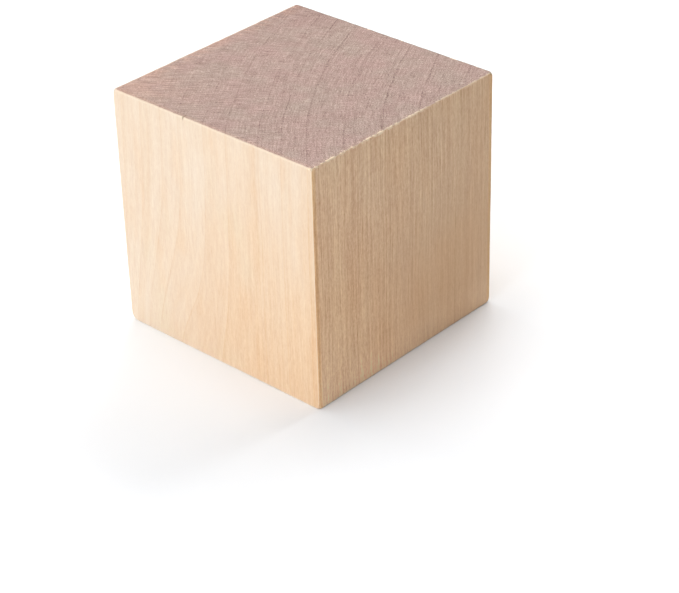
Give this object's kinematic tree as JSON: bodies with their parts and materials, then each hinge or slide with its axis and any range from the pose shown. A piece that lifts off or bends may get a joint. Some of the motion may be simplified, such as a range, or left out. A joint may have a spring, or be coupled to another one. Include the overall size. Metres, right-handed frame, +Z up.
{
  "type": "wooden cube",
  "caption": "Plain solid hardwood cube with end grain on top, lightly eased edges and flat faces for setting up, stacking, blocking or craft work.",
  "frame": {"origin": "middle of the underside", "axes": "+Z up along the wood fibres, towards the upper end-grain face; -Y square to the flat-sawn face with the arched figure; +X square to the fine straight-grained face"},
  "size_m": [0.0508, 0.0508, 0.0508],
  "materials": {
    "raw_hardwood": "unfinished close-grained pale hardwood, sanded on the four long-grain faces, sawn on the two end-grain faces"
  },
  "bodies": {
    "root": {"cube_block": "raw_hardwood"}
  },
  "joints": []
}
